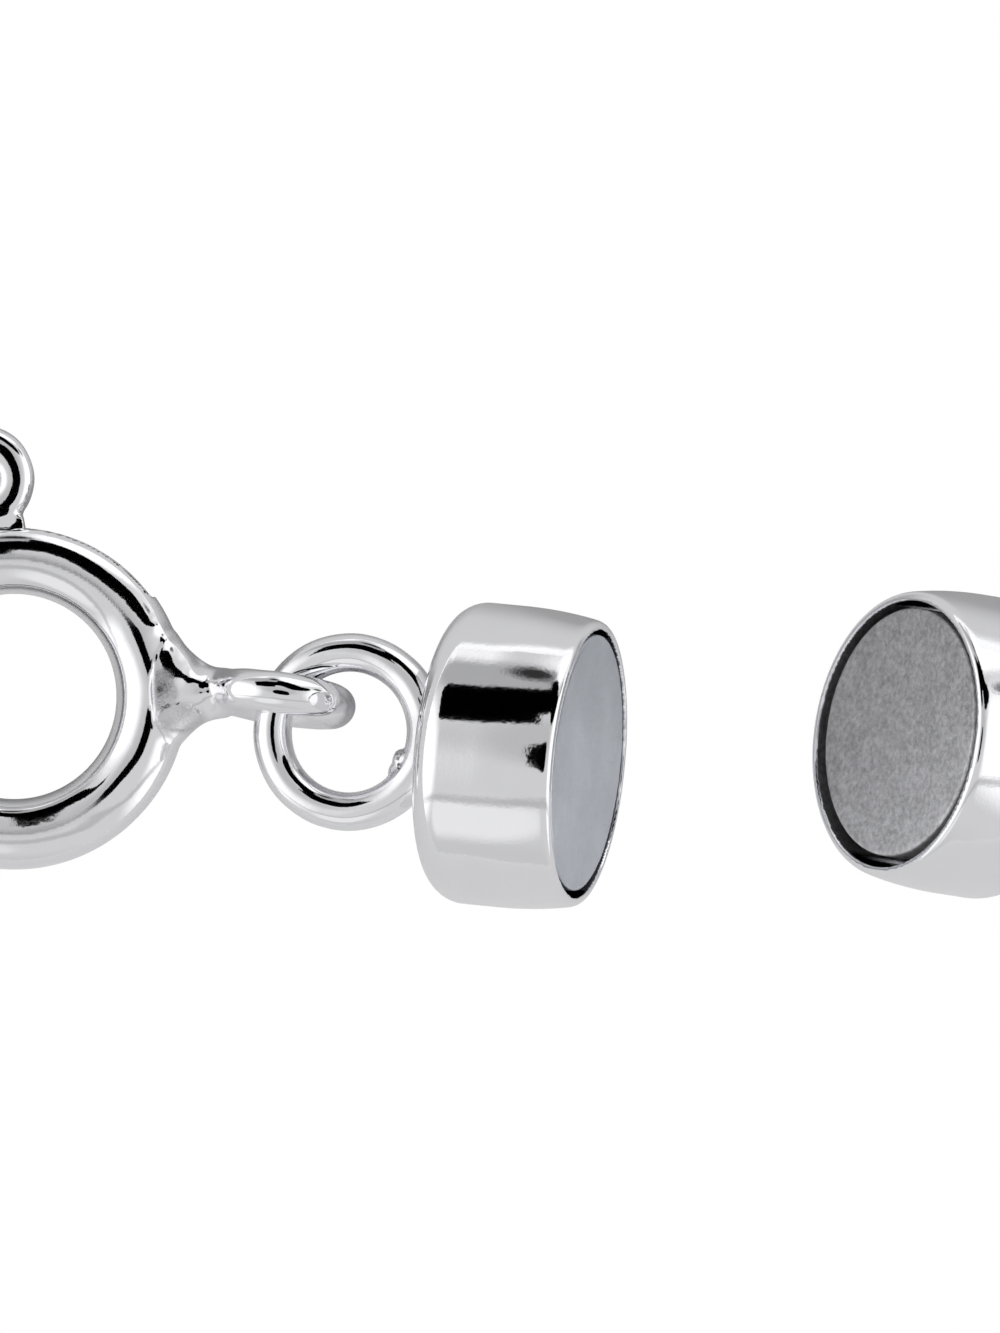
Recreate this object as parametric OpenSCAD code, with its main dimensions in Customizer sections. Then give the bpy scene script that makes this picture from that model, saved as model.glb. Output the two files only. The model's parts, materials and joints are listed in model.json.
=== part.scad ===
// Magnetic jewellery clasp, in millimetres: a spring ring whose eye carries one magnetic
// half, and the other half lying loose beside it. X runs along the clasp from the spring
// ring to the loose half, Z points up from the surface that all of it lies on.

/* [Spring ring] */
// Outer diameter of the spring ring
ring_od = 6.92; // [6.5:0.02:8]
// Outer diameter of the ring's tube
tube_od = 1.41; // [1.3:0.01:1.5]
// Wall of the ring's tube
tube_wall = 0.2; // [0.15:0.01:0.25]
// Where the ring's gap starts, in degrees round from the eye
gap_start_angle = 116; // [115:1:122]
// Where the ring's gap ends, in degrees round from the eye
gap_end_angle = 160; // [152:1:166]

/* [Trigger] */
// Clearance round the trigger wire in the tube, and round the lever in its slot
wire_clearance = 0.04; // [0.02:0.01:0.08]
// How far the wire's tip reaches past the gap when closed, in degrees
tip_seat_angle = 5; // [4:0.5:8]
// Where the lever stands when closed, in degrees round from the eye
lever_angle = 99; // [97:1:100]
// Outer diameter of the lever's loop
lever_od = 2.18; // [1.9:0.02:2.4]
// Wire of the lever's loop
lever_wire = 0.74; // [0.6:0.01:0.8]
// Height of the loop's middle above the middle of the tube
lever_height = 1.65; // [1.5:0.01:1.75]
// Width of the lever's foot where it passes through the tube's wall
foot_w = 1.48; // [1.1:0.02:1.5]
// Thickness of the lever's foot
foot_t = 0.52; // [0.4:0.01:0.6]
// Height of the foot above the tube's outer surface
foot_h = 0.15; // [0.05:0.01:0.2]

/* [Eye] */
// Outer diameter of the eye
eye_od = 2.96; // [2.8:0.02:3.4]
// Wire of the eye
eye_wire = 0.83; // [0.7:0.01:0.9]
// Length of the soldered neck between the tube and the eye
eye_neck = 0.43; // [0.3:0.01:0.7]
// Lean of the eye about its neck, in degrees
eye_lean = -7; // [-8:1:8]
// Turn of the eye seen from above, in degrees
eye_turn = -8; // [-10:1:6]
// How far the eye's middle lies off the ring's middle line
eye_shift = -0.05; // [-0.1:0.01:0.1]
// Half the width of the solder where it spreads on the tube
solder_spread = 1.05; // [0.8:0.01:1.2]
// Thickness of that solder, across the ring
solder_depth = 0.96; // [0.9:0.01:1.2]

/* [Cups] */
// Outer diameter of each cup
cup_od = 6.04; // [5.6:0.02:7]
// Depth of each cup, outside
cup_depth = 3.06; // [2.6:0.02:4]
// Rounding of the cup's back edge
back_round = 0.6; // [0.4:0.01:0.9]
// Thickness of the cup's floor
cup_floor = 0.3; // [0.25:0.01:0.5]
// How far the mouth is burnished inwards
burnish = 0.07; // [0.03:0.01:0.12]
// Length of the burnished band
burnish_len = 1.2; // [0.8:0.05:1.6]
// Wall of the cup at its mouth
lip = 0.27; // [0.2:0.01:0.4]

/* [Magnets] */
// Gap between each magnet and its cup
magnet_gap = 0.14; // [0.05:0.01:0.2]
// Seating gap between each magnet and its cup's floor
magnet_seat = 0.02; // [0.01:0.01:0.1]
// How far the linked magnet stands proud of its rim
left_proud = 0.05; // [0.02:0.01:0.15]
// How far the loose magnet lies below its rim
right_recess = 0.17; // [0.05:0.01:0.3]
// Chamfer round each magnet's edge
magnet_chamfer = 0.05; // [0.02:0.01:0.1]

/* [Wire rings on the cups] */
// Outer diameter of the wire ring on each cup's back
link_od = 3.96; // [3.8:0.02:4.6]
// Wire of that ring
link_wire = 0.76; // [0.6:0.01:0.8]
// How deep the ring sinks into the cup's back where it is soldered
link_sink = 0.03; // [0.02:0.01:0.2]
// How far off the cup's middle the ring is soldered
link_shift = 0.175; // [0:0.005:0.3]
// Radius of the solder pad round the joint
pad_r = 0.8; // [0.6:0.01:1]
// Height of the solder pad
pad_h = 0.3; // [0.2:0.01:0.4]
// Radius of the lump of solder on the inside of the ring
lump_r = 0.23; // [0.2:0.01:0.3]
// Where that lump sits, in degrees round the ring from its joint
lump_angle = -22; // [-25:1:-15]

/* [Lay of the pieces] */
// Clearance above the wire ring where it lifts against the eye
link_clearance = 0.08; // [0.05:0.01:0.1]
// How far past the eye's middle the wire ring lies, less than nothing towards the tube
link_slack = -0.05; // [-0.1:0.01:0.05]
// Where the wire ring passes through the eye, in degrees from its far end
link_angle = 19; // [10:1:25]
// How far the linked half turns to the right as it lies, in degrees
left_turn_angle = -5.6; // [-10:0.2:0]
// How far the loose half turns as it lies, in degrees
right_turn_angle = 171.2; // [165:0.2:185]
// Distance along X between the middles of the two mouths
apart_x = 6.1; // [5.5:0.1:12]
// Distance along Y between the middles of the two mouths
apart_y = 0.61; // [-1:0.01:2]

/* [Hidden] */
$fn = 96;
overlap = 0.1;
whole_turn = 360;

// Spring ring, in its own frame: the ring in the plane XY round the origin, the eye at +X
tube_r = tube_od / 2;
ring_r = ring_od / 2 - tube_r;
bore_r = tube_r - tube_wall;
tube_end_angle = gap_start_angle + whole_turn;
eye_r = (eye_od - eye_wire) / 2;
eye_x = ring_od / 2 + eye_neck + eye_od / 2;

// Trigger: the wire slides round in the tube by its travel, which just clears the gap
wire_r = bore_r - wire_clearance;
opening_angle = 1;
travel_angle = gap_end_angle + tip_seat_angle - gap_start_angle + opening_angle;
nose_ball_r = 2 * wire_r;
nose_len = nose_ball_r - sqrt(pow(nose_ball_r, 2) - pow(wire_r, 2));
nose_angle = gap_end_angle + tip_seat_angle - asin(nose_len / ring_r);
tail_angle = 16;
slot_w = foot_t + 2 * wire_clearance;
slot_margin_angle = 1;
foot_angle = asin(foot_w / 2 / (ring_r + bore_r));
slot_start = lever_angle - travel_angle - foot_angle - slot_margin_angle;
slot_end = lever_angle + foot_angle + slot_margin_angle;

// Cups and magnets, in each half's own frame: the back's middle at the origin, mouth to +X
cup_r = cup_od / 2;
burnish_r = (pow(burnish_len, 2) + pow(burnish, 2)) / (2 * burnish);
mouth_r = cup_r - burnish - lip;
magnet_r = mouth_r - magnet_gap;
link_r = (link_od - link_wire) / 2;
link_x = -(link_od / 2 - link_sink);

// How the pieces lie. The spring ring rests on its far side and on its eye's lowest point,
// the loose half on its back edge and its wire ring, and the linked half on its back edge
// with its wire ring lifting against the inside of the eye.
ring_tilt = asin((eye_r * cos(eye_lean) + eye_wire / 2 - tube_r) / (eye_x + ring_r));
ring_height = tube_r + ring_r * sin(ring_tilt);
link_rise = eye_r - eye_wire / 2 - link_wire / 2 - link_clearance;
link_place = [
    (eye_x + link_slack) * cos(ring_tilt) - link_rise * sin(ring_tilt),
    eye_shift,
    ring_height + (eye_x + link_slack) * sin(ring_tilt) + link_rise * cos(ring_tilt)
];

// Tilt of a half whose wire ring has a point at this height, that far behind the cup's back
function half_tilt(reach, height) =
    acos((height - back_round) / norm([cup_r - back_round, back_round + reach]))
    - atan2(back_round + reach, cup_r - back_round);

// Height of the middle of the back of a half that lies on its back edge
function back_height(tilt) =
    (cup_r - back_round) * cos(tilt) + back_round * (1 - sin(tilt));

// Direction in the shared frame of a direction in a tilted and turned piece's own frame
function turned(v, tilt, turn) =
    let (x = v[0] * cos(tilt) - v[2] * sin(tilt), z = v[0] * sin(tilt) + v[2] * cos(tilt))
    [x * cos(turn) - v[1] * sin(turn), x * sin(turn) + v[1] * cos(turn), z];

// Half the size of a circle of radius 1 along one axis, when its plane's normal is this far
// along that axis
function circle_extent(normal_part) = sqrt(1 - pow(normal_part, 2));

link_reach = -link_x + link_r * cos(link_angle);
left_tilt = half_tilt(link_reach, link_place[2]);
left_back = link_place
    - turned([-link_reach, link_shift + link_r * sin(link_angle), 0], left_tilt, left_turn_angle);
right_tilt = half_tilt(link_r - link_x, link_wire / 2);
left_mouth = left_back + turned([cup_depth, 0, 0], left_tilt, left_turn_angle);
right_mouth = turned([cup_depth, 0, 0], right_tilt, right_turn_angle);
right_back = [
    left_mouth[0] + apart_x - right_mouth[0],
    left_mouth[1] + apart_y - right_mouth[1],
    back_height(right_tilt)
];

// Middle of the whole object's box, which the pieces are moved back by
right_ring = right_back + turned([link_x, link_shift, 0], right_tilt, right_turn_angle);
right_ring_normal = turned([0, 0, 1], right_tilt, right_turn_angle);
left_axis = turned([1, 0, 0], left_tilt, left_turn_angle);
low_x = -(ring_r * cos(ring_tilt) + tube_r);
high_x = right_ring[0] + link_r * circle_extent(right_ring_normal[0]) + link_wire / 2;
low_y = left_back[1] + (cup_depth - burnish_len) * left_axis[1]
    - cup_r * circle_extent(left_axis[1]);
high_y = (ring_r + lever_height) * sin(lever_angle) + lever_od / 2;
middle = [(low_x + high_x) / 2, (low_y + high_y) / 2, 0];

// A round rod bent to an arc of a circle about Z, between two angles
module arc_rod(bend_r, rod_r, from, to) {
    rotate_extrude(angle = to - from, start = from)
        translate([bend_r, 0])
            circle(r = rod_r);
}

// A whole ring of round wire about Z
module wire_ring(bend_r, rod_r) {
    rotate_extrude()
        translate([bend_r, 0])
            circle(r = rod_r);
}

// The place of the spring ring and of the wire that slides in it
module as_spring_ring_lies() {
    translate([0, 0, ring_height] - middle)
        rotate([0, -ring_tilt, 0])
            children();
}

// The place of a magnetic half
module as_half_lies(back, tilt, turn) {
    translate(back - middle)
        rotate([0, -tilt, turn])
            children();
}

// The slot in the outside of the tube that the lever slides along
module lever_slot() {
    rotate_extrude(angle = slot_end - slot_start, start = slot_start)
        translate([ring_r, -slot_w / 2])
            square([tube_od, slot_w]);
}

// The solder that holds the eye: wide on the tube, hollowed to the eye's own wire
module eye_solder() {
    hollow_r = (pow(eye_neck + overlap, 2) + pow(solder_spread - eye_wire / 2, 2))
        / (2 * (solder_spread - eye_wire / 2));
    intersection() {
        rotate([0, 90, 0])
            rotate_extrude()
                difference() {
                    translate([0, ring_r])
                        square([solder_spread, tube_r + eye_neck + eye_wire / 2]);
                    translate([eye_wire / 2 + hollow_r, ring_od / 2 + eye_neck])
                        circle(r = hollow_r);
                    translate([eye_wire / 2, ring_od / 2 + eye_neck])
                        square([solder_spread, eye_wire]);
                }
        cube([4 * eye_x, 4 * solder_spread, solder_depth], center = true);
    }
}

module spring_ring() {
    color("silver")
        as_spring_ring_lies()
            union() {
                difference() {
                    union() {
                        arc_rod(ring_r, tube_r, gap_end_angle, tube_end_angle);
                        eye_solder();
                    }
                    arc_rod(ring_r, bore_r, gap_end_angle - opening_angle, tube_end_angle + opening_angle);
                    lever_slot();
                }
                translate([eye_x, eye_shift, 0])
                    rotate([90 + eye_lean, 0, eye_turn])
                        wire_ring(eye_r, eye_wire / 2);
            }
}

// The lever: a loop of wire on a foot that passes through the slot
module lever() {
    foot_len = tube_r + foot_h;
    rotate_extrude(angle = 2 * foot_angle, start = lever_angle - foot_angle)
        translate([ring_r, -foot_t / 2])
            square([foot_len, foot_t]);
    rotate([0, 0, lever_angle])
        translate([ring_r + lever_height, 0, 0])
            wire_ring((lever_od - lever_wire) / 2, lever_wire / 2);
}

// The rounded nose of the trigger wire, at its end in the gap
module wire_nose() {
    rotate([0, 0, nose_angle])
        translate([ring_r, 0, 0])
            rotate([-90, 0, 0])
                intersection() {
                    translate([0, 0, -overlap])
                        cylinder(r = wire_r, h = nose_len + overlap);
                    translate([0, 0, nose_len - nose_ball_r])
                        sphere(r = nose_ball_r);
                }
}

module trigger() {
    color("gainsboro")
        as_spring_ring_lies()
            union() {
                arc_rod(ring_r, wire_r, lever_angle - tail_angle, nose_angle);
                wire_nose();
                lever();
            }
}

// Half of the cup's section: its radius along X, its depth along Y
module cup_section() {
    wall_end = cup_depth - burnish_len;
    difference() {
        union() {
            square([cup_r - back_round, cup_depth]);
            translate([0, back_round])
                square([cup_r, wall_end - back_round]);
            translate([cup_r - back_round, back_round])
                circle(r = back_round);
            intersection() {
                translate([0, wall_end])
                    square([cup_r, burnish_len]);
                translate([cup_r - burnish_r, wall_end])
                    circle(r = burnish_r);
            }
        }
        translate([0, cup_floor])
            square([mouth_r, cup_depth]);
    }
}

// A cup with its wire ring soldered to its back, which are one solid
module ringed_cup() {
    rotate([0, 90, 0])
        rotate_extrude()
            cup_section();
    translate([link_x, link_shift, 0])
        wire_ring(link_r, link_wire / 2);
    translate([-pad_h, link_shift, 0])
        rotate([0, 90, 0])
            cylinder(r1 = link_wire / 2, r2 = pad_r, h = pad_h + overlap);
    translate([link_x, link_shift, 0])
        rotate([0, 0, lump_angle])
            translate([link_r - link_wire / 2, 0, 0])
                sphere(r = lump_r);
}

// A magnet disc on its cup's floor, with its face this far past the cup's rim
module magnet(proud) {
    face = cup_depth + proud;
    seat = cup_floor + magnet_seat;
    translate([seat, 0, 0])
        rotate([0, 90, 0])
            union() {
                cylinder(r = magnet_r, h = face - seat - magnet_chamfer);
                translate([0, 0, face - seat - magnet_chamfer])
                    cylinder(r1 = magnet_r, r2 = magnet_r - magnet_chamfer, h = magnet_chamfer);
            }
}

module cup_left() {
    color("silver")
        as_half_lies(left_back, left_tilt, left_turn_angle)
            ringed_cup();
}

module magnet_left() {
    color("lightsteelblue")
        as_half_lies(left_back, left_tilt, left_turn_angle)
            magnet(left_proud);
}

module cup_right() {
    color("silver")
        as_half_lies(right_back, right_tilt, right_turn_angle)
            ringed_cup();
}

module magnet_right() {
    color("darkgray")
        as_half_lies(right_back, right_tilt, right_turn_angle)
            magnet(-right_recess);
}

spring_ring();
trigger();
cup_left();
magnet_left();
cup_right();
magnet_right();
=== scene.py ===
"""Looks of a magnetic jewellery clasp: a spring ring with its trigger, and two cups with magnets.

Each piece is a fine mesh that is made in its own local frame, in millimetres, from a formula for the
distance to its surface, and is then carried to where the frame's joint and mounts say that it lies.
"""
import json
import math

import bpy
import numpy as np
from mathutils import Matrix, Vector


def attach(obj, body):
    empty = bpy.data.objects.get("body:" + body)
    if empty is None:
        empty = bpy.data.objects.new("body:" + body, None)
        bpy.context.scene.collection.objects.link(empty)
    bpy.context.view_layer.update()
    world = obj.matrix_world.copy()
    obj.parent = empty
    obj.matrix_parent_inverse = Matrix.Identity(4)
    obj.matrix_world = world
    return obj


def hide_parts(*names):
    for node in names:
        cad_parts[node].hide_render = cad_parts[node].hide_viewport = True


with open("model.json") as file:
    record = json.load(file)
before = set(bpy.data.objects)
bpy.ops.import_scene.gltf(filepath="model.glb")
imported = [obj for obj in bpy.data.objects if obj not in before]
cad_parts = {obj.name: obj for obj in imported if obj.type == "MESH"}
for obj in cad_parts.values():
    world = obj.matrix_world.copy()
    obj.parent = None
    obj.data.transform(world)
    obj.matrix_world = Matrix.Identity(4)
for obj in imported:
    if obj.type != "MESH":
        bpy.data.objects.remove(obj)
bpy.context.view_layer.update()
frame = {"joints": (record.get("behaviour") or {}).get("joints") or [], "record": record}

MM = 0.001

# Sizes of the pieces, in millimetres and degrees
RING_R = 2.755
TUBE_R = 0.705
BORE_R = 0.505
GAP_START = 116
GAP_END = 160
EYE_X = 5.37
EYE_Y = -0.05
EYE_R = 1.065
EYE_WIRE_R = 0.415
EYE_LEAN = -7
EYE_TURN = -8
SLOT_HALF = 0.3
SLOT_START = 35.5
SLOT_END = 112.5
WIRE_R = 0.465
WIRE_START = 83
WIRE_END = 165
LEVER_ANGLE = 99
LEVER_REACH = 1.65
LEVER_LOOP_R = 0.72
LEVER_WIRE_R = 0.37
FOOT_HALF_W = 0.74
FOOT_HALF_T = 0.26
FOOT_LEN = 0.855
LOOP_FLAT = 0.335
CUP_R = 3.02
CUP_DEPTH = 3.06
CUP_FLOOR = 0.3
CUP_BACK_ROUND = 0.65
CUP_BACK = 0.1
MOUTH_R = 2.68
# The cup's lip bends in from this far below its rim, and by this much at the rim. The bend stops growing
# where its share of that length reaches the last value.
LIP_LEN = 1.6
LIP_BEND = 0.168
LIP_END = 1.2
LINK_R = 1.59
LINK_WIRE_R = 0.385
LINK_X = -1.95
LINK_SHIFT = 0.175
LINK_PAD_R = 0.42
# Two lumps of solder on the wire ring, and how far their middles lie outside its inner edge
LUMP_ANGLE = -22
LUMP_R = 0.25
LUMP_NEXT_ANGLE = -33
LUMP_NEXT_R = 0.19
LUMP_OUT = 0.08
# Pits in the solder lump: X, Y, Z from its middle and radius
LUMP_PITS = ((0.04, -0.1, 0.22, 0.06), (-0.1, 0.06, 0.22, 0.035))
# The magnets start here in their cups, and in the CAD they end past the rim or short of it
MAGNET_START = 0.32
LEFT_PROUD = 0.05
RIGHT_RECESS = 0.17
# Each magnet as it is shown: its radius, where its face lies, and how far it sits off its cup's axis
LEFT_MAGNET = (2.57, 3.04, (0.02, 0.06))
RIGHT_MAGNET = (2.5, 2.97, (-0.05, 0.0))

# How far from an edge its rounding starts, or from a seam its fillet, in millimetres
GAP_EDGE = 0.1
BORE_EDGE = 0.05
SLOT_EDGE = 0.06
SLOT_CORNER = 0.25
EYE_SEAM = 0.3
SOLDER_SEAM = 0.05
POOL_EDGE = 0.1
POOL_SEAM = 0.12
FLARE_EDGE = 0.2
TONGUE_EDGE = 0.03
TONGUE_SEAM = 0.03
WIRE_NOSE = 0.3
WIRE_SEAM = 0.04
FOOT_EDGE = 0.12
LOOP_EDGE = 0.2
LOOP_SEAM = 0.22
RIM_EDGE = 0.24
MOUTH_EDGE = 0.07
LINK_SEAM = 0.35
PAD_SEAM = 0.25
LUMP_SEAM = 0.1
LUMP_NEXT_SEAM = 0.12
PIT_EDGE = 0.05
MAGNET_EDGE = 0.1

# Waves of the surfaces: how many are summed and how much their lengths differ, and for each form
# their depth and length in millimetres and the seed of their random draws
WAVE_COUNT = 7
WAVE_SPREAD = (0.7, 1.3)
TUBE_WAVES = (0.004, 2.2, 3)
EYE_WAVES = (0.01, 0.8, 9)
POOL_WAVES = (0.012, 0.45, 5)
POOL_EDGE_WAVES = (0.04, 0.7, 11)
FLARE_WAVES = (0.016, 0.55, 7)
PATCH_WAVES = (0.05, 0.4, 15)
LOOP_WAVES = (0.01, 0.7, 13)
CUP_WAVES = (0.003, 2.5, 21)
LINK_WAVES = (0.006, 0.9, 23)
LUMP_WAVES = (0.035, 0.35, 25)


def unit(v):
    """A vector of the same direction and of length 1."""
    return np.asarray(v, float) / np.linalg.norm(v)


class Place:
    """A local frame: where its origin lies, in millimetres, and its axes as the columns of a matrix."""

    def __init__(self, origin, x_axis, y_axis):
        self.origin = np.asarray(origin, float)
        self.axes = np.column_stack([x_axis, y_axis, np.cross(x_axis, y_axis)])

    def out(self, points):
        """Local points, a row each, in the shared frame."""
        return points @ self.axes.T + self.origin

    def out_directions(self, directions):
        """Local directions in the shared frame."""
        return directions @ self.axes.T


def spring_ring_place():
    """The spring ring's frame: the trigger's joint axis is Z, and the eye lies along X."""
    joint = frame["joints"][0]
    z_axis = unit(joint["axis"])
    y_axis = np.array([0.0, 1.0, 0.0])
    return Place(np.array(joint["pos_m"]) / MM, unit(np.cross(y_axis, z_axis)), y_axis)


def half_place(mount_name, face_x):
    """A magnetic half's frame: its axis is X, and the origin is the middle of its cup's back."""
    mount = next(m for m in frame["record"]["mounts"] if m["name"] == mount_name)
    x_axis = unit(mount["axis"])
    y_axis = unit(np.cross([0, 0, 1], x_axis))
    return Place(np.array(mount["pos_m"]) / MM - face_x * x_axis, x_axis, y_axis)


# Distances, for points given as three rows x, y and z

def turned_about(p, axis, degrees):
    """Points seen from a frame that is turned this far about one of the axes X, Y or Z."""
    c, s = math.cos(math.radians(degrees)), math.sin(math.radians(degrees))
    a, b = {"X": (1, 2), "Y": (2, 0), "Z": (0, 1)}[axis]
    q = list(p)
    q[a] = c * p[a] + s * p[b]
    q[b] = c * p[b] - s * p[a]
    return q


def moved(p, x=0.0, y=0.0, z=0.0):
    """Points seen from a frame whose origin is here."""
    return [p[0] - x, p[1] - y, p[2] - z]


def ring_of_wire(p, bend_r, rod_r):
    """Distance to a ring of round wire about Z."""
    return np.hypot(np.hypot(p[0], p[1]) - bend_r, p[2]) - rod_r


def ball(p, r):
    """Distance to a ball."""
    return np.sqrt(p[0] ** 2 + p[1] ** 2 + p[2] ** 2) - r


def joined(a, b, reach):
    """Both shapes with a fillet between them that starts this far from the seam."""
    close = np.maximum(reach - np.abs(a - b), 0) / reach
    return np.minimum(a, b) - close ** 3 * reach / 6


def common(a, b, reach):
    """What two shapes share, with its edge rounded from this far on."""
    return -joined(-a, -b, reach)


def cut(a, b, reach):
    """The first shape without the second, with the edge rounded."""
    return -joined(-a, b, reach)


def sector(p, start, end, r):
    """Roughly how far points lie outside a sector about Z, measured along the circle of this radius."""
    middle = math.radians((start + end) / 2)
    half = math.radians((end - start) / 2)
    off = np.arctan2(p[1], p[0]) - middle
    off = np.abs(np.arctan2(np.sin(off), np.cos(off)))
    return (off - half) * r


def waves(p, depth, length, seed):
    """Smooth random waves of about this length, and at most this deep."""
    rng = np.random.default_rng(seed)
    total = 0
    for _ in range(WAVE_COUNT):
        direction = unit(rng.normal(size=3)) * 2 * math.pi / length * rng.uniform(*WAVE_SPREAD)
        phase = rng.uniform(0, 2 * math.pi)
        total = total + np.sin(direction[0] * p[0] + direction[1] * p[1] + direction[2] * p[2] + phase)
    return depth * (total / WAVE_COUNT)


def near(distance, reach):
    """1 where a distance is 0 or less, falling smoothly to 0 at this reach."""
    t = np.clip(distance / reach, 0, 1)
    return 1 - t * t * (3 - 2 * t)


def eye_frame(p):
    """Points seen from the eye's own frame."""
    return turned_about(turned_about(moved(p, x=EYE_X, y=EYE_Y), "Z", EYE_TURN), "X", 90 + EYE_LEAN)


# The tube's top has a faint ridge, but for the stretch beside the eye. The width and reach of the
# ridge and of the shoulder are angles round the tube in radians, and their ends are in degrees.
ROUND_START = -44
ROUND_END = 26
RIDGE_LEAN = math.tan(math.radians(7.5))
RIDGE_REACH = 0.5
RIDGE_WIDTH = 0.015
RIDGE_FADE = 0.7
# The inner shoulder of the tube's far end, and the sway of its crest before that
SHOULDER_START = -112
SHOULDER_END = -60
SHOULDER = 0.035
SHOULDER_OFF = -0.7
SHOULDER_WIDTH = 0.3
SHOULDER_FADE = 0.8
SWAY_START = -54
SWAY_END = -40
SWAY = 0.07
SWAY_FADE = 0.8

# The solder between the tube and the eye's bar: a thin pool on the tube, and a flare of oval section
POOL = (3.4, 0.25, 0.58, 1.05)
POOL_THICK = 0.015
FLARE_X = 2.804
# How much wider the flare is than the bar at its start, and how fast that falls, on the +Y and -Y sides
FLARE_W = (1.129, 0.95)
FLARE_LEN = (0.777, 0.68)
FLARE_H = 0.353
FLARE_H_LEN = 1.176
BAR_HALF_W = 0.455
BAR_HALF_H = 0.425
BAR_Y = 0.05
BAR_Y_FADE = 0.9
# The tongue of solder beside the bar: X, Y and half sizes
TONGUE = (3.34, -0.42, 0.42, 0.26)
TONGUE_THICK = 0.025
# Low forms on the solder's top: X, Y, width and height. The first is the swell of the top, and the
# second a dip beside it.
SOLDER_BEADS = (
    (3.081, 0.23, 0.372, 0.037),
    (3.708, 0.615, 0.192, -0.054),
    (2.9, 1.42, 0.17, 0.035),
    (3.06, 1.14, 0.15, 0.03),
    (3.7, 0.34, 0.14, 0.03),
    (3.84, 0.1, 0.13, 0.025),
    (4.0, 0.28, 0.12, 0.025),
)
# The height below which they fade out
BEADS_FADE = 0.2

# Marks on the surface: how strong each one is, and how far past its form's edge it reaches. The dull
# patch lies between the solder and the ring's hole.
PATCH = (3.03, 0.12, 0.23, 0.36)
PATCH_DULL = 0.75
PATCH_REACH = 0.1
TONGUE_DULL = 0.6
TONGUE_REACH = 0.12
# The eye's dull, darker tip: a ball whose middle lies this far past the middle of the eye's wire
TIP_PAST = 0.33
TIP_Y = -0.2
TIP_R = 0.5
TIP_REACH = 0.25
# The worn line along the ridge, in radians round the tube
WORN_HALF = 0.05
WORN_REACH = 0.12
LUMP_DULL = 0.2
LUMP_DULL_OUT = 0.05
LUMP_REACH = 0.2
# The dull joint where the wire ring meets the cup's back
JOINT_DULL = 0.35
JOINT_X = -0.25
JOINT_R = 0.55
JOINT_REACH = 0.3
SHEET_REACH = 0.3


def ridge(p):
    """How much the tube's faint ridge, sway and shoulder take off its radius."""
    off = np.arctan2(np.hypot(p[0], p[1]) - RING_R, p[2])
    rise = np.sqrt(off ** 2 + RIDGE_WIDTH ** 2) - RIDGE_WIDTH
    share = 1 - near(sector(p, ROUND_START, ROUND_END, RING_R), RIDGE_FADE)
    bend = np.exp(-(off / RIDGE_REACH) ** 2)
    sway = SWAY * off * bend * near(sector(p, SWAY_START, SWAY_END, RING_R), SWAY_FADE)
    bulge = SHOULDER * np.exp(-((off - SHOULDER_OFF) / SHOULDER_WIDTH) ** 2)
    bulge = bulge * near(sector(p, SHOULDER_START, SHOULDER_END, RING_R), SHOULDER_FADE)
    return TUBE_R * RIDGE_LEAN * rise * bend * share + sway - bulge


def oval_reach(p, oval):
    """Roughly how far points lie outside an oval seen from above, given by its middle and half sizes."""
    x, y, half_x, half_y = oval
    return (np.hypot((p[0] - x) / half_x, (p[1] - y) / half_y) - 1) * min(half_x, half_y)


def solder_shape(p):
    """The solder that carries the eye: the pool, the flare round the eye's bar and the tongue."""
    pool = ring_of_wire(p, RING_R, TUBE_R + POOL_THICK) + waves(p, *POOL_WAVES)
    pool = common(pool, oval_reach(p, POOL) + waves(p, *POOL_EDGE_WAVES), POOL_EDGE)
    past = p[0] - FLARE_X
    y = p[1] - BAR_Y * near(EYE_X - EYE_R - p[0], BAR_Y_FADE)
    up = BAR_HALF_W + FLARE_W[0] * np.exp(-(past / FLARE_LEN[0]) ** 2)
    down = BAR_HALF_W + FLARE_W[1] * np.exp(-(past / FLARE_LEN[1]) ** 2)
    half_w = np.where(y > 0, up, down)
    half_h = BAR_HALF_H + FLARE_H * np.exp(-(past / FLARE_H_LEN) ** 2)
    flare = (np.hypot(y / half_w, p[2] / half_h) - 1) * half_h + waves(p, *FLARE_WAVES)
    flare = common(flare, np.maximum(-past, p[0] - (EYE_X - EYE_R)), FLARE_EDGE)
    tongue = common(np.maximum(flare - TONGUE_THICK, -p[2]), oval_reach(p, TONGUE), TONGUE_EDGE)
    return joined(joined(pool, flare, POOL_SEAM), tongue, TONGUE_SEAM)


def beads(p):
    """How far the low swell and beads stand out of the solder's top."""
    rise = 0
    for x, y, width, height in SOLDER_BEADS:
        rise = rise + height * np.exp(-((p[0] - x) ** 2 + (p[1] - y) ** 2) / width ** 2)
    return rise * near(BEADS_FADE - p[2], BEADS_FADE)


def spring_ring_shape(p):
    """The hollow tube with its gap and slot, the solder and the eye."""
    tube = ring_of_wire(p, RING_R, TUBE_R) + ridge(p) + waves(p, *TUBE_WAVES)
    eye = ring_of_wire(eye_frame(p), EYE_R, EYE_WIRE_R) + waves(p, *EYE_WAVES)
    body = joined(joined(tube, solder_shape(p), SOLDER_SEAM), eye, EYE_SEAM) - beads(p)
    body = cut(body, sector(p, GAP_START, GAP_END, RING_R), GAP_EDGE)
    body = cut(body, ring_of_wire(p, RING_R, BORE_R), BORE_EDGE)
    slot = np.maximum(np.abs(p[2]) - SLOT_HALF, RING_R - np.hypot(p[0], p[1]))
    slot = common(slot, sector(p, SLOT_START, SLOT_END, RING_R + TUBE_R), SLOT_CORNER)
    return cut(body, slot, SLOT_EDGE)


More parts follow.
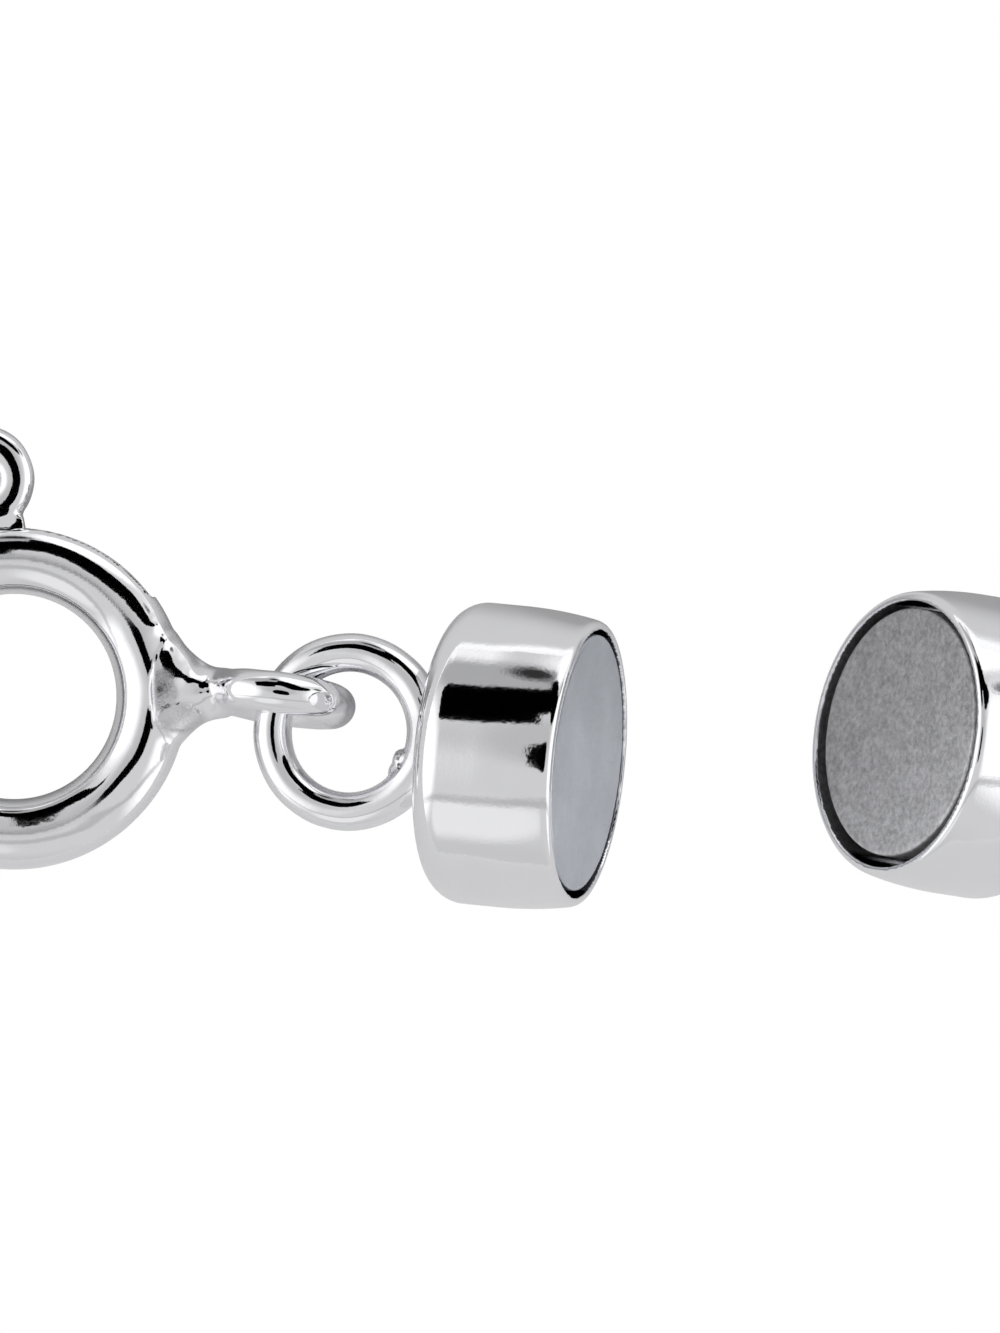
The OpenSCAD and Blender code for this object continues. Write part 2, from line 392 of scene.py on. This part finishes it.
def spring_ring_dull(p):
    """How dull the solder and the eye's tip are, from 0 on polished metal to 1."""
    patch = near(oval_reach(p, PATCH) + waves(p, *PATCH_WAVES), PATCH_REACH)
    tongue = near(oval_reach(p, TONGUE), TONGUE_REACH)
    tip = near(ball(moved(p, x=EYE_X + EYE_R + TIP_PAST, y=TIP_Y), TIP_R), TIP_REACH)
    return np.maximum(np.maximum(PATCH_DULL * patch, TONGUE_DULL * tongue), tip)


def ridge_worn(p):
    """1 along the worn ridge of the tube, and 0 elsewhere."""
    off = np.arctan2(np.hypot(p[0], p[1]) - RING_R, p[2])
    line = near(np.abs(off) - WORN_HALF, WORN_REACH)
    return line * (1 - near(sector(p, ROUND_START, ROUND_END, RING_R), RIDGE_FADE))


def trigger_shape(p):
    """The wire that slides in the tube, with its rounded nose, its foot and its loop."""
    wire = common(ring_of_wire(p, RING_R, WIRE_R), sector(p, WIRE_START, WIRE_END, RING_R), WIRE_NOSE)
    q = turned_about(p, "Z", LEVER_ANGLE)
    across = np.maximum(np.abs(q[2]) - FOOT_HALF_T, np.abs(q[1]) - FOOT_HALF_W)
    along = np.maximum(RING_R - np.hypot(q[0], q[1]), np.hypot(q[0], q[1]) - RING_R - FOOT_LEN)
    foot = common(across, along, FOOT_EDGE)
    loop = ring_of_wire(moved(q, x=RING_R + LEVER_REACH), LEVER_LOOP_R, LEVER_WIRE_R)
    loop = common(loop, np.abs(q[2]) - LOOP_FLAT, LOOP_EDGE) + waves(p, *LOOP_WAVES)
    return joined(joined(foot, loop, LOOP_SEAM), wire, WIRE_SEAM)


def link_frame(p):
    """Points seen from the middle of a cup's wire ring."""
    return moved(p, x=LINK_X, y=LINK_SHIFT)


def lump_frame(p, angle=LUMP_ANGLE):
    """Points seen from the middle of a solder lump on a cup's wire ring, which lies at this angle."""
    return moved(turned_about(link_frame(p), "Z", angle), x=LINK_R - LINK_WIRE_R + LUMP_OUT)


def cup_shape(p):
    """A cup with the wire ring soldered to its back."""
    radius = np.hypot(p[1], p[2])
    past_back = np.maximum(CUP_BACK + CUP_BACK_ROUND - p[0], 0)
    solid = np.hypot(np.maximum(radius - (CUP_R - CUP_BACK_ROUND), 0), past_back) - CUP_BACK_ROUND
    bend = np.clip((p[0] - (CUP_DEPTH - LIP_LEN)) / LIP_LEN, 0, LIP_END)
    solid = np.maximum(solid, radius - CUP_R + LIP_BEND * bend ** 2) + waves(p, *CUP_WAVES)
    solid = common(solid, p[0] - CUP_DEPTH, RIM_EDGE)
    hollow = np.maximum(radius - MOUTH_R, CUP_FLOOR - p[0])
    cup = cut(solid, hollow, MOUTH_EDGE)
    link = ring_of_wire(link_frame(p), LINK_R, LINK_WIRE_R) + waves(p, *LINK_WAVES)
    lump = ball(lump_frame(p), LUMP_R) + waves(p, *LUMP_WAVES)
    lump = joined(lump, ball(lump_frame(p, LUMP_NEXT_ANGLE), LUMP_NEXT_R), LUMP_NEXT_SEAM)
    link = joined(link, lump, LUMP_SEAM)
    link = joined(link, ball(moved(p, x=CUP_BACK, y=LINK_SHIFT), LINK_PAD_R), PAD_SEAM)
    for x, y, z, r in LUMP_PITS:
        link = cut(link, ball(moved(lump_frame(p), x, y, z), r), PIT_EDGE)
    return joined(cup, link, LINK_SEAM)


def cup_dull(p):
    """How dull the solder of the wire ring is, and 0 on polished metal."""
    lump = near(ball(lump_frame(p), LUMP_R + LUMP_DULL_OUT), LUMP_REACH)
    joint = near(ball(moved(p, x=JOINT_X, y=LINK_SHIFT), JOINT_R), JOINT_REACH)
    return np.maximum(LUMP_DULL * lump, JOINT_DULL * joint)


def cup_sheet(p):
    """1 on the cup's turned sheet, falling to 0 on its wire ring."""
    return near(CUP_BACK - p[0], SHEET_REACH)


def magnet_shape(p, r, face_x, shift):
    """A magnet disc between its seat and its face, with a rounded edge, moved a little off its cup's axis."""
    side = np.hypot(p[1] - shift[0], p[2] - shift[1]) - r
    ends = np.maximum(MAGNET_START - p[0], p[0] - face_x)
    return common(side, ends, MAGNET_EDGE)


# Meshes from distances

# How far apart the distances are taken that give a slope, in millimetres
SLOPE_STEP = 0.002
# How often the points step towards the surface, and the least squared slope that a step reckons with
STEPS = 3
LEAST_SLOPE = 0.25


def slope(shape, points):
    """How the distance grows along X, Y and Z at each point."""
    rows = []
    for axis in range(3):
        ahead, behind = points.copy(), points.copy()
        ahead[axis] += SLOPE_STEP
        behind[axis] -= SLOPE_STEP
        rows.append((shape(ahead) - shape(behind)) / (2 * SLOPE_STEP))
    return np.array(rows)


def surface(shape, low, high, step):
    """Points, quads and normals of the surface where a shape's distance is 0.

    A cell of the grid that the surface crosses gets one point, the mean of where it crosses the cell's
    edges, and each crossed edge gets a quad between the four cells round it.
    """
    counts = [int(math.ceil((b - a) / step)) + 2 for a, b in zip(low, high)]
    axes = [a - step / 2 + step * np.arange(n) for a, n in zip(low, counts)]
    grid = np.meshgrid(*axes, indexing="ij")
    values = shape(grid)
    inside = values < 0
    cell = np.arange(values.size).reshape(values.shape)
    sums = np.zeros((3, values.size))
    hits = np.zeros(values.size)
    quads = []
    for axis in range(3):
        first = tuple(slice(0, -1) if a == axis else slice(None) for a in range(3))
        second = tuple(slice(1, None) if a == axis else slice(None) for a in range(3))
        crossed = inside[first] != inside[second]
        index = np.argwhere(crossed)
        start = values[first][crossed]
        share = start / (start - values[second][crossed])
        place = np.array([axes[a][index[:, a]] for a in range(3)])
        place[axis] += share * step
        u, v = (axis + 1) % 3, (axis + 2) % 3
        around = []
        for du, dv in ((0, 0), (-1, 0), (-1, -1), (0, -1)):
            corner = index.copy()
            corner[:, u] += du
            corner[:, v] += dv
            number = cell[corner[:, 0], corner[:, 1], corner[:, 2]]
            around.append(number)
            for a in range(3):
                sums[a] += np.bincount(number, place[a], values.size)
            hits += np.bincount(number, minlength=values.size)
        around = np.array(around).T
        leaving = inside[first][crossed]
        around[~leaving] = around[~leaving][:, ::-1]
        quads.append(around)
    used = np.flatnonzero(hits)
    points = sums[:, used] / hits[used]
    renumber = np.zeros(values.size, int)
    renumber[used] = np.arange(len(used))
    for _ in range(STEPS):
        gradient = slope(shape, points)
        points -= gradient * shape(points) / np.maximum((gradient ** 2).sum(0), LEAST_SLOPE)
    gradient = slope(shape, points)
    normals = gradient / np.linalg.norm(gradient, axis=0)
    return points, renumber[np.concatenate(quads)], normals


def make_piece(name, node, body, material, place, shape, box, step, marks=None):
    """A mesh piece that stands for a CAD node, made where the place says."""
    points, quads, normals = surface(shape, box[0], box[1], step)
    mesh = bpy.data.meshes.new(name)
    mesh.from_pydata((place.out(points.T) * MM).tolist(), [], quads.tolist())
    mesh.shade_smooth()
    local = mesh.attributes.new("local_mm", "FLOAT_VECTOR", "POINT")
    local.data.foreach_set("vector", points.T.astype(np.float32).ravel())
    for label, reach in (marks or {}).items():
        layer = mesh.attributes.new(label, "FLOAT", "POINT")
        layer.data.foreach_set("value", reach(points).astype(np.float32))
    mesh.normals_split_custom_set_from_vertices(place.out_directions(normals.T).tolist())
    mesh.materials.append(material)
    piece = bpy.data.objects.new(name, mesh)
    bpy.context.scene.collection.objects.link(piece)
    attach(piece, body)
    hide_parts(node)
    print(name, len(mesh.vertices), "points", len(mesh.polygons), "quads")


# Materials

# Colours are linear red, green, blue and 1
WHITE = (1, 1, 1, 1)
BLACK = (0, 0, 0, 1)
# Each kind of noise is its grains to a millimetre, with its detail where that isn't 2, or else its
# stretch along X, Y and Z.
SILVER_PAINTS = ((0.94, 0.94, 0.965, 1), (0.9, 0.9, 0.915, 1))
SOLDER_PAINT = (0.52, 0.51, 0.55, 1)
RIPPLE = 7
WEAVE = 13
SWELL = 1.3
SCRATCHES = (26, 2.5, 2.5)
SILVER_GRAIN = (18, 4)
# How much of a dull mark shows where its grain is 0
STAIN_LEAST = 0.35
SILVER_ROUGH = 0.045
SCRATCH_ROUGH = 0.03
STAIN_ROUGH = 0.3
WORN_ROUGH = 0.3
# Depths of the relief, in millimetres
RIPPLE_DEPTH = 0.0012
WEAVE_DEPTH = 0.0011
SWELL_DEPTH = 0.003
SCRATCH_DEPTH = 0.0002
DENT_DEPTH = 0.006
# The pale magnet: its tone is strokes, flecks and clouds, with painted shade that falls with the square of
# the height, darkening the face towards its edges along Y
PALE_PAINTS = ((0.5, 0.53, 0.585, 1), (0.78, 0.815, 0.88, 1))
PALE_METAL = 0.92
STROKES = (3, 14, 2)
STROKE_DETAIL = 3
PALE_CLOUD = (0.6, 3)
FLECK = (6, 4)
STROKE_TONE = 0.3
FLECK_TONE = 0.4
CLOUD_TONE = 1.2
PALE_TONE_OFF = 0.45
PAINTED_EDGE_SHADE = -0.06
PALE_ROUGH = 0.24
STROKE_ROUGH = 0.12
STROKE_DEPTH = 0.003
PALE_PITS = 16
PALE_PIT_DEPTH = 0.001
# The grey magnet: a mottle of three noises between two paints, with painted light that makes it lighter
# towards +Y
GREY_PAINTS = ((0.38, 0.375, 0.39, 1), (0.7, 0.695, 0.71, 1))
GREY_TINTS = ((0.98, 1.0, 0.97, 1), (1.0, 0.97, 0.99, 1))
GREY_METAL = 0.9
GREY_GRAIN = (9, 5)
GREY_FINE = 26
GREY_BLOTCH = 3.5
GREY_CLOUD = 0.9
GRAIN_SHARE = 0.5
FINE_SHARE = 0.25
BLOTCH_SHARE = 0.25
MOTTLE_LOW = 0.36
MOTTLE_HIGH = 0.64
GREY_HALF = 2.5
GREY_PAINTED_LIGHT_GAINS = (0.8, 1.2)
GREY_ROUGH = 0.58
MOTTLE_ROUGH = -0.15
GREY_GRAIN_DEPTH = 0.02
GREY_FINE_DEPTH = 0.006


def add_node(tree, kind, inputs=None, **settings):
    """A new node whose inputs are numbers or other nodes' outputs."""
    node = tree.nodes.new(kind)
    for name, value in settings.items():
        setattr(node, name, value)
    for name, value in (inputs or {}).items():
        if isinstance(value, bpy.types.NodeSocket):
            tree.links.new(value, node.inputs[name])
        else:
            node.inputs[name].default_value = value
    return node


def new_material(name):
    """A material with an empty tree, its shader and the piece's own millimetres."""
    material = bpy.data.materials.new(name)
    material.use_nodes = True
    tree = material.node_tree
    tree.nodes.clear()
    shader = add_node(tree, "ShaderNodeBsdfPrincipled")
    output = add_node(tree, "ShaderNodeOutputMaterial")
    tree.links.new(shader.outputs["BSDF"], output.inputs["Surface"])
    local = add_node(tree, "ShaderNodeAttribute", attribute_name="local_mm")
    return material, tree, shader, local.outputs["Vector"]


def noise(tree, place, scale, detail=2.0):
    """A noise texture's value, with about this many grains to a millimetre."""
    settings = {"Vector": place, "Scale": scale, "Detail": detail}
    return add_node(tree, "ShaderNodeTexNoise", settings).outputs["Fac"]


def stretched(tree, place, scale):
    """The piece's millimetres, stretched along its axes."""
    return add_node(tree, "ShaderNodeMapping", {"Vector": place, "Scale": scale}).outputs["Vector"]


def mark(tree, name):
    """A mark of the piece's points, which is 0 where a piece doesn't have it."""
    return add_node(tree, "ShaderNodeAttribute", attribute_name=name).outputs["Fac"]


def height_of(tree, local):
    """The piece's own millimetres along Y."""
    return add_node(tree, "ShaderNodeSeparateXYZ", {"Vector": local}).outputs["Y"]


def calculate(tree, operation, *values):
    """The result of a math node, from numbers or other nodes' outputs."""
    return add_node(tree, "ShaderNodeMath", dict(enumerate(values)), operation=operation).outputs[0]


def blend(tree, share, first, second):
    """A colour between two, which are colours or other nodes' outputs."""
    node = add_node(tree, "ShaderNodeMix", data_type="RGBA")
    for socket, value in ((node.inputs[0], share), (node.inputs[6], first), (node.inputs[7], second)):
        if isinstance(value, bpy.types.NodeSocket):
            tree.links.new(value, socket)
        else:
            socket.default_value = value
    return node.outputs[2]


def add_bumps(tree, shader, *layers):
    """Relief from pairs of a height between 0 and 1 and its depth in millimetres."""
    normal = None
    for height, depth in layers:
        bump = add_node(tree, "ShaderNodeBump", {"Height": height, "Distance": depth * MM})
        if normal:
            tree.links.new(normal, bump.inputs["Normal"])
        normal = bump.outputs["Normal"]
    tree.links.new(normal, shader.inputs["Normal"])


def silver_material():
    """Polished silver with faint ripples and fine scratches, duller solder and a worn ridge."""
    material, tree, shader, local = new_material("silver")
    dull = mark(tree, "dull")
    sheet = mark(tree, "sheet")
    ripple = calculate(tree, "MULTIPLY", noise(tree, local, RIPPLE), calculate(tree, "SUBTRACT", 1.0, sheet))
    weave = calculate(tree, "MULTIPLY", noise(tree, local, WEAVE), sheet)
    swell = noise(tree, local, SWELL)
    scratches = noise(tree, stretched(tree, local, SCRATCHES), 1)
    grain = noise(tree, local, *SILVER_GRAIN)
    stain = calculate(tree, "MULTIPLY", dull, calculate(tree, "ADD", grain, STAIN_LEAST))
    polished = blend(tree, swell, *SILVER_PAINTS)
    tree.links.new(blend(tree, stain, polished, SOLDER_PAINT), shader.inputs["Base Color"])
    shader.inputs["Metallic"].default_value = 1.0
    rough = calculate(tree, "MULTIPLY_ADD", scratches, SCRATCH_ROUGH, SILVER_ROUGH)
    rough = calculate(tree, "MULTIPLY_ADD", stain, STAIN_ROUGH, rough)
    rough = calculate(tree, "MULTIPLY_ADD", mark(tree, "worn"), WORN_ROUGH, rough)
    tree.links.new(rough, shader.inputs["Roughness"])
    add_bumps(
        tree, shader, (ripple, RIPPLE_DEPTH), (weave, WEAVE_DEPTH), (swell, SWELL_DEPTH),
        (scratches, SCRATCH_DEPTH), (calculate(tree, "MULTIPLY", grain, dull), DENT_DEPTH),
    )
    return material


def pale_magnet_material():
    """Plated satin metal with faint strokes of polishing, and painted shade towards its edges along Y."""
    material, tree, shader, local = new_material("magnet_pale")
    strokes = noise(tree, stretched(tree, local, STROKES), 1, STROKE_DETAIL)
    cloud = noise(tree, local, *PALE_CLOUD)
    fleck = noise(tree, local, *FLECK)
    tone = calculate(tree, "MULTIPLY", fleck, FLECK_TONE)
    tone = calculate(tree, "MULTIPLY_ADD", strokes, STROKE_TONE, tone)
    tone = calculate(tree, "SUBTRACT", tone, PALE_TONE_OFF)
    tone = calculate(tree, "MULTIPLY_ADD", cloud, CLOUD_TONE, tone)
    height = height_of(tree, local)
    # Painted shade: the tone falls with the square of Y, so the face darkens towards its edges
    tone = calculate(tree, "MULTIPLY_ADD", calculate(tree, "MULTIPLY", height, height), PAINTED_EDGE_SHADE, tone)
    tree.links.new(blend(tree, tone, *PALE_PAINTS), shader.inputs["Base Color"])
    shader.inputs["Metallic"].default_value = PALE_METAL
    rough = calculate(tree, "MULTIPLY_ADD", strokes, STROKE_ROUGH, PALE_ROUGH)
    tree.links.new(rough, shader.inputs["Roughness"])
    add_bumps(tree, shader, (strokes, STROKE_DEPTH), (noise(tree, local, PALE_PITS), PALE_PIT_DEPTH))
    return material


def grey_magnet_material():
    """Bare sintered metal with a mottled grain, and painted light that makes it lighter towards +Y."""
    material, tree, shader, local = new_material("magnet_grey")
    grain = noise(tree, local, *GREY_GRAIN)
    fine = noise(tree, local, GREY_FINE)
    cloud = noise(tree, local, GREY_CLOUD)
    mottle = calculate(tree, "MULTIPLY", grain, GRAIN_SHARE)
    mottle = calculate(tree, "ADD", mottle, calculate(tree, "MULTIPLY", fine, FINE_SHARE))
    mottle = calculate(tree, "MULTIPLY_ADD", noise(tree, local, GREY_BLOTCH), BLOTCH_SHARE, mottle)
    share = add_node(tree, "ShaderNodeMapRange", {
        "Value": mottle, "From Min": MOTTLE_LOW, "From Max": MOTTLE_HIGH}).outputs[0]
    paint = blend(tree, share, *GREY_PAINTS)
    tint = blend(tree, cloud, *GREY_TINTS)
    mixed = add_node(tree, "ShaderNodeMix", data_type="RGBA", blend_type="MULTIPLY")
    mixed.inputs[0].default_value = 1.0
    tree.links.new(paint, mixed.inputs[6])
    tree.links.new(tint, mixed.inputs[7])
    # Painted light: the paint is scaled up from one side of the face to the other, so the +Y side shows
    # lighter
    painted_light_share = add_node(tree, "ShaderNodeMapRange", {
        "Value": height_of(tree, local), "From Min": -GREY_HALF, "From Max": GREY_HALF,
        "To Min": GREY_PAINTED_LIGHT_GAINS[0], "To Max": GREY_PAINTED_LIGHT_GAINS[1]}).outputs[0]
    gain = add_node(tree, "ShaderNodeVectorMath", {0: mixed.outputs[2], "Scale": painted_light_share}, operation="SCALE")
    tree.links.new(gain.outputs[0], shader.inputs["Base Color"])
    shader.inputs["Metallic"].default_value = GREY_METAL
    rough = calculate(tree, "MULTIPLY_ADD", share, MOTTLE_ROUGH, GREY_ROUGH)
    tree.links.new(rough, shader.inputs["Roughness"])
    add_bumps(tree, shader, (grain, GREY_GRAIN_DEPTH), (fine, GREY_FINE_DEPTH))
    return material


# Stage

PIXELS_PER_MM = 50
IMAGE_SIZE = (1000, 1333)
# Where the ring's middle lies in the photograph, in its pixels
RING_PIXEL = (14.2, 696.5)
CAMERA_TIP = math.radians(2.5)
# Far enough off for a flat look, and near enough for the views from other sides, in millimetres
CAMERA_DISTANCE = 880
SENSOR = 36
# The nearest and farthest distance that the camera sees, and half the floor's width, in metres
CLIP = (0.1, 10)
FLOOR_HALF = 1.5
CARD_HEIGHT = 500
FLOOR_PAINT = 0.63
# The floor's glow in the metal: its strength, its lean towards +X, and how far along +Y it starts and
# where it is full
FAR_GLOW = 0.45
FAR_LEAN = 0.6
FAR_START = 26 * MM
FAR_END = 58 * MM
LAMP_ENERGY = 2.0
LAMP_WIDTH = math.radians(30)
LAMP_SIDE = (-0.3, -0.75, 0.6)
DOME = 0.66
# Soft patches of the dome: middle and half size in degrees off the zenith along X and Y, how softly
# the patch ends, and its brightness
PATCHES = (
    ((-88, 0), (48, 52), 22, 1.15),
    ((78, -8), (44, 60), 20, 1.15),
    ((-40, -94), (70, 28), 24, 0.6),
    ((-30, -50), (20, 18), 12, 0.85),
    ((-6, 14), (26, 18), 14, 0.52),
    ((-14, 66), (50, 12), 10, 0.42),
    ((-27, 87), (13, 9), 9, 1.05),
    ((38, 76), (36, 22), 12, 1.2),
    ((-6, 70), (8, 5.5), 6, 0.03),
    ((60, 41), (8, 6), 5, 0.15),
    ((0, -34), (70, 3.5), 5, 0.5),
)
# Corners of the dark card, in degrees off the zenith along X and Y
DARK_CARD = (
    (-43, 28), (-30, 26.5), (-22, 27), (-10.5, 28), (-9, 36), (-1, 37), (4, 34), (9, 28), (14, 24.5),
    (25, 23.5), (36, 25.5), (44, 30), (47, 36), (42, 42), (30, 46), (22, 54), (14, 61), (4, 65), (-1, 64),
    (-3, 57), (-10.5, 56), (-22, 56.5), (-30, 55), (-43, 53),
)
# Middle and half size of the dark spot, which is the lens seen by the metal, in the same degrees. Its
# power is 1 for an oval, and less for a squarer form.
DARK_SPOT = (-5, 2)
DARK_SPOT_HALF = (11.5, 11.5)
DARK_SPOT_POWER = 0.75
DARK_SPOT_CORNERS = 32
# Keeps the dome's middle from a division by 0
TINY = 1e-5


def make_camera(ring):
    """A camera far overhead, tipped a little, with the ring's middle at its pixel of the photograph."""
    right = np.array([math.cos(CAMERA_TIP), 0, math.sin(CAMERA_TIP)])
    back = np.array([-math.sin(CAMERA_TIP), 0, math.cos(CAMERA_TIP)])
    up = np.array([0, 1, 0])
    off_x = (IMAGE_SIZE[0] / 2 - RING_PIXEL[0]) / PIXELS_PER_MM
    off_y = (RING_PIXEL[1] - IMAGE_SIZE[1] / 2) / PIXELS_PER_MM
    target = ring.origin + off_x * right + off_y * up
    data = bpy.data.cameras.new("camera")
    data.sensor_width = SENSOR
    data.lens = SENSOR * CAMERA_DISTANCE / (IMAGE_SIZE[1] / PIXELS_PER_MM)
    data.clip_start, data.clip_end = CLIP
    camera = bpy.data.objects.new("camera", data)
    bpy.context.scene.collection.objects.link(camera)
    camera.location = Vector((target + CAMERA_DISTANCE * back) * MM)
    camera.rotation_euler = Matrix(np.column_stack([right, up, back])).to_euler()
    bpy.context.scene.camera = camera


def make_polygon(name, corners, material):
    """A flat stage piece."""
    mesh = bpy.data.meshes.new(name)
    mesh.from_pydata(corners, [], [list(range(len(corners)))])
    mesh.materials.append(material)
    piece = bpy.data.objects.new(name, mesh)
    bpy.context.scene.collection.objects.link(piece)
    return piece


def make_floor():
    """A floor that is white to the camera, and that the metal mirrors as light grey with a far glow."""
    floor_paint = bpy.data.materials.new("floor")
    floor_paint.use_nodes = True
    tree = floor_paint.node_tree
    tree.nodes.clear()
    seen = add_node(tree, "ShaderNodeLightPath")
    diffuse = add_node(tree, "ShaderNodeBsdfDiffuse", {"Color": (FLOOR_PAINT, FLOOR_PAINT, FLOOR_PAINT, 1)})
    glow = add_node(tree, "ShaderNodeEmission", {"Color": WHITE, "Strength": 1.0})
    place = add_node(tree, "ShaderNodeSeparateXYZ", {
        "Vector": add_node(tree, "ShaderNodeNewGeometry").outputs["Position"]})
    reach = calculate(tree, "MULTIPLY_ADD", place.outputs["X"], FAR_LEAN, place.outputs["Y"])
    far = add_node(tree, "ShaderNodeMapRange", {
        "Value": reach, "From Min": FAR_START, "From Max": FAR_END, "To Max": FAR_GLOW},
        interpolation_type="SMOOTHSTEP").outputs[0]
    faint = add_node(tree, "ShaderNodeEmission", {"Color": WHITE, "Strength": far})
    lit = add_node(tree, "ShaderNodeAddShader", {0: diffuse.outputs["BSDF"], 1: faint.outputs["Emission"]})
    both = add_node(tree, "ShaderNodeMixShader", {
        "Fac": seen.outputs["Is Camera Ray"], 1: lit.outputs["Shader"], 2: glow.outputs["Emission"]})
    output = add_node(tree, "ShaderNodeOutputMaterial")
    tree.links.new(both.outputs["Shader"], output.inputs["Surface"])
    corners = [(x * FLOOR_HALF, y * FLOOR_HALF, 0) for x, y in ((-1, -1), (1, -1), (1, 1), (-1, 1))]
    make_polygon("floor", corners, floor_paint)


def spot_corner(turn):
    """The dark spot's corner at this turn in radians, in degrees off the zenith along X and Y."""
    parts = zip(DARK_SPOT, DARK_SPOT_HALF, (math.cos(turn), math.sin(turn)))
    return [middle + half * math.copysign(abs(part) ** DARK_SPOT_POWER, part) for middle, half, part in parts]


def card_point(u, v):
    """The point of the cards' level that lies this many degrees off the zenith along X and Y."""
    off = math.hypot(u, v)
    reach = math.tan(math.radians(off)) * CARD_HEIGHT * MM / off
    return (u * reach, v * reach, CARD_HEIGHT * MM)


def make_cards():
    """The dark card and the dark spot, which only the metal sees."""
    black = bpy.data.materials.new("black_card")
    black.use_nodes = True
    black.node_tree.nodes["Principled BSDF"].inputs["Base Color"].default_value = BLACK
    black.node_tree.nodes["Principled BSDF"].inputs["Specular IOR Level"].default_value = 0
    turns = np.linspace(0, 2 * math.pi, DARK_SPOT_CORNERS, endpoint=False)
    spot = [spot_corner(turn) for turn in turns]
    for name, corners in (("dark_card", DARK_CARD), ("dark_spot", spot)):
        card = make_polygon(name, [card_point(u, v) for u, v in corners], black)
        card.visible_camera = False


def length_of(tree, a, b):
    """The length of a vector with these two parts."""
    squares = [calculate(tree, "MULTIPLY", part, part) for part in (a, b)]
    return calculate(tree, "SQRT", calculate(tree, "ADD", *squares))


def make_dome():
    """The world: white to the camera, and to the metal a grey dome with brighter and darker patches."""
    world = bpy.data.worlds.new("studio")
    world.use_nodes = True
    tree = world.node_tree
    background = tree.nodes["Background"]
    coordinates = add_node(tree, "ShaderNodeTexCoord")
    direction = add_node(tree, "ShaderNodeSeparateXYZ", {"Vector": coordinates.outputs["Generated"]})
    x, y, z = direction.outputs
    flat = length_of(tree, x, y)
    off = calculate(tree, "MULTIPLY", calculate(tree, "ARCTAN2", flat, z), math.degrees(1))
    stretch = calculate(tree, "DIVIDE", off, calculate(tree, "MAXIMUM", flat, TINY))
    along = calculate(tree, "MULTIPLY", x, stretch)
    across = calculate(tree, "MULTIPLY", y, stretch)
    light = DOME
    for (u, v), (half_u, half_v), softness, brightness in PATCHES:
        past_u = calculate(tree, "DIVIDE", calculate(tree, "SUBTRACT", along, u), half_u)
        past_v = calculate(tree, "DIVIDE", calculate(tree, "SUBTRACT", across, v), half_v)
        soft = softness / min(half_u, half_v)
        share = add_node(tree, "ShaderNodeMapRange", {
            "Value": length_of(tree, past_u, past_v),
            "From Min": 1 + soft / 2, "From Max": max(1 - soft / 2, 0)},
            interpolation_type="SMOOTHSTEP").outputs[0]
        change = calculate(tree, "SUBTRACT", brightness, light)
        light = calculate(tree, "MULTIPLY_ADD", share, change, light)
    tree.links.new(light, background.inputs["Strength"])
    seen = add_node(tree, "ShaderNodeLightPath")
    white = add_node(tree, "ShaderNodeBackground", {"Color": WHITE, "Strength": 1.0})
    both = add_node(tree, "ShaderNodeMixShader", {
        "Fac": seen.outputs["Is Camera Ray"], 1: background.outputs[0], 2: white.outputs[0]})
    background.inputs["Color"].default_value = WHITE
    tree.links.new(both.outputs[0], tree.nodes["World Output"].inputs["Surface"])
    bpy.context.scene.world = world


def make_lamp():
    """A wide sun that lights the floor, and that nothing mirrors."""
    lamp = bpy.data.lights.new("floor_lamp", "SUN")
    lamp.energy = LAMP_ENERGY
    lamp.angle = LAMP_WIDTH
    light = bpy.data.objects.new("floor_lamp", lamp)
    light.rotation_euler = Vector(LAMP_SIDE).to_track_quat("Z", "Y").to_euler()
    light.visible_glossy = False
    bpy.context.scene.collection.objects.link(light)


# Boxes round the pieces in their local frames, and how wide the cells of their meshes are, in millimetres
RING_BOX = ((-3.6, -3.6, -1.6), (6.9, 3.6, 1.6))
TRIGGER_BOX = ((-3.3, 0.2, -0.6), (0.9, 5.7, 0.6))
CUP_BOX = ((-4.1, -3.2, -3.2), (3.2, 3.2, 3.2))
MAGNET_BOX = ((0.2, -2.8, -2.8), (3.3, 2.8, 2.8))
RING_STEP = 0.055
TRIGGER_STEP = 0.04
HALF_STEP = 0.06

ring = spring_ring_place()
left = half_place("linked_magnet_face", CUP_DEPTH + LEFT_PROUD)
right = half_place("loose_magnet_face", CUP_DEPTH - RIGHT_RECESS)
make_camera(ring)
make_floor()
make_cards()
make_dome()
make_lamp()
bpy.context.scene.view_settings.view_transform = "Standard"
silver = silver_material()
pale = pale_magnet_material()
grey = grey_magnet_material()
make_piece(
    "spring_ring_body", "spring_ring", "root", silver, ring, spring_ring_shape, RING_BOX, RING_STEP,
    {"dull": spring_ring_dull, "worn": ridge_worn},
)
make_piece(
    "trigger_wire", "trigger", "trigger", silver, ring, trigger_shape, TRIGGER_BOX, TRIGGER_STEP,
)
for side, place, paint, slot, (r, face_x, shift) in (
    ("left", left, pale, "magnet_pale", LEFT_MAGNET),
    ("right", right, grey, "magnet_grey", RIGHT_MAGNET),
):
    make_piece(
        f"cup_{side}_body", f"cup_{side}", "root", silver, place, cup_shape, CUP_BOX, HALF_STEP,
        {"dull": cup_dull, "sheet": cup_sheet},
    )
    make_piece(
        f"magnet_{side}_disc", f"magnet_{side}", "root", paint, place,
        lambda p: magnet_shape(p, r, face_x, shift), MAGNET_BOX, HALF_STEP,
    )
